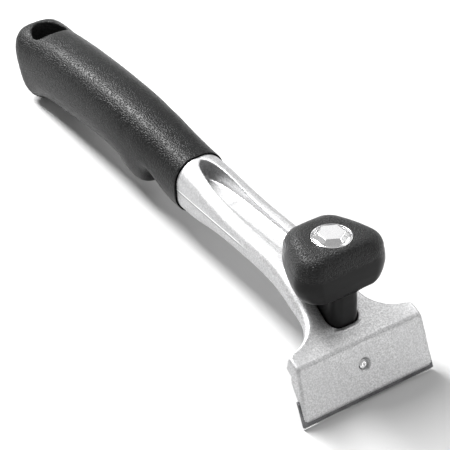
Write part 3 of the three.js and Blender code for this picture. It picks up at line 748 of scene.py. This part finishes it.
def casting():
    """One even skin over the casting: crisp edges at the head, softer ones along the neck."""
    body = remeshed(from_node("body_casting", "casting"), 0.34, 3)
    neck = body.vertex_groups.new(name="neck")
    by_share = {}
    for vertex in body.data.vertices:
        share = round(max(0.0, min(1.0, (8 - vertex.co.x / MM) / 12)), 1)
        by_share.setdefault(share, []).append(vertex.index)
    for share, members in by_share.items():
        neck.add(members, share, "REPLACE")
    return modifier(body, "SMOOTH", factor=0.5, iterations=11, vertex_group="neck")


# ---------------------------------------------------------------- the pieces in place
finish_piece(casting(), "body_casting", MATERIALS["cast_aluminium"])
finish_piece(handle_grip(), "handle_grip", MATERIALS["grip_skin"])
finish_piece(bevelled("handle_core", "core", 0.3), "handle_core", MATERIALS["core_plastic"])
finish_piece(knob_body(), "knob_body", MATERIALS["knob_plastic"])
finish_piece(knob_bush(), "knob_bush", MATERIALS["bright_steel"])
finish_piece(knob_bolt(), "knob_bolt", MATERIALS["bright_steel"])
finish_piece(bevelled("blade", "blade_strip", 0.06), "blade", MATERIALS["blade_steel"])
finish_piece(bevelled("clamp_plate", "clamp", 0.35), "clamp_plate", MATERIALS["zinc_steel"])
finish_piece(clamp_washer(), "clamp_washer", MATERIALS["zinc_steel"])
finish_piece(clamp_screw(), "clamp_screw", MATERIALS["bright_steel"])
for pin in ("tang_pin_front", "tang_pin_rear"):
    finish_piece(bevelled(pin, pin.replace("tang_", ""), 0.15), pin, MATERIALS["zinc_steel"])


# ---------------------------------------------------------------- floor, light and camera
def floor():
    mesh = bpy.data.meshes.new("floor")
    mesh.from_pydata([(-4, -4, 0), (4, -4, 0), (4, 4, 0), (-4, 4, 0)], [], [(0, 1, 2, 3)])
    obj = bpy.data.objects.new("floor", mesh)
    bpy.context.scene.collection.objects.link(obj)
    obj.location.z = -0.0002
    n = Nodes("floor")
    tone = n.mix(n.noise(0.004, 2), grey(0.52), grey(0.55))
    mesh.materials.append(n.finish(tone, 0.9, Specular_IOR_Level=0.1))


def soft_light(name, direction, distance, power, wide, tall, roll=0.0):
    """A softbox that looks back at the tool; roll turns it about its own line of sight, in degrees."""
    lamp = bpy.data.lights.new(name, "AREA")
    lamp.shape = "RECTANGLE"
    lamp.size = wide
    lamp.size_y = tall
    lamp.energy = power
    obj = bpy.data.objects.new(name, lamp)
    bpy.context.scene.collection.objects.link(obj)
    aim = Vector(direction).normalized()
    obj.location = aim * distance
    turn = aim.to_track_quat("Z", "Y") @ Quaternion((0, 0, 1), math.radians(roll))
    obj.rotation_euler = turn.to_euler()
    return obj


def studio():
    world = bpy.data.worlds.new("studio")
    bpy.context.scene.world = world
    world.use_nodes = True
    tree = world.node_tree
    background = tree.nodes["Background"]
    split = tree.nodes.new("ShaderNodeSeparateXYZ")
    height = tree.nodes.new("ShaderNodeMapRange")
    height.inputs["From Min"].default_value = -0.1
    height.inputs["From Max"].default_value = 0.9
    height.inputs["To Min"].default_value = 0.46
    height.inputs["To Max"].default_value = 0.42
    tree.links.new(tree.nodes.new("ShaderNodeTexCoord").outputs["Generated"], split.inputs[0])
    tree.links.new(split.outputs["Z"], height.inputs["Value"])
    tree.links.new(height.outputs["Result"], background.inputs["Strength"])
    background.inputs["Color"].default_value = (1, 1, 1, 1)
    soft_light("back_softbox", (-0.63, -0.19, 0.75), 1.5, 56, 0.34, 1.15, -27)
    soft_light("far_panel", (-0.72, 0.42, 0.56), 1.9, 1.3, 0.8, 0.8)
    soft_light("side_panel", (0.0, 0.7, 0.72), 1.9, 12, 1.1, 1.1)
    soft_light("front_panel", (0.9, 0.44, 0.06), 1.9, 8, 1.4, 1.0)


def camera():
    """The camera looks down on the tool from ahead of its right side; angles are about the knob's axis."""
    round_, above, roll = math.radians(32.52), math.radians(34.93), math.radians(-2.33)
    back = Vector((math.cos(round_) * math.cos(above), -math.sin(round_) * math.cos(above), math.sin(above)))
    right = Vector((math.sin(round_), math.cos(round_), 0))
    up = back.cross(right)
    right, up = (right * math.cos(roll) + up * math.sin(roll), up * math.cos(roll) - right * math.sin(roll))
    distance, sideways, raised = 743, -41.7, -1.7
    place = Vector((0, 0, 73.6)) + back * distance + right * sideways + up * raised
    turn = Matrix((right, up, back)).transposed().to_4x4()
    lens = bpy.data.cameras.new("camera")
    lens.sensor_width = 36
    lens.lens = 152
    obj = bpy.data.objects.new("camera", lens)
    bpy.context.scene.collection.objects.link(obj)
    obj.matrix_world = TOOL @ Matrix.Translation(place * MM) @ turn
    bpy.context.scene.camera = obj


floor()
studio()
camera()
bpy.context.scene.view_settings.view_transform = "Standard"
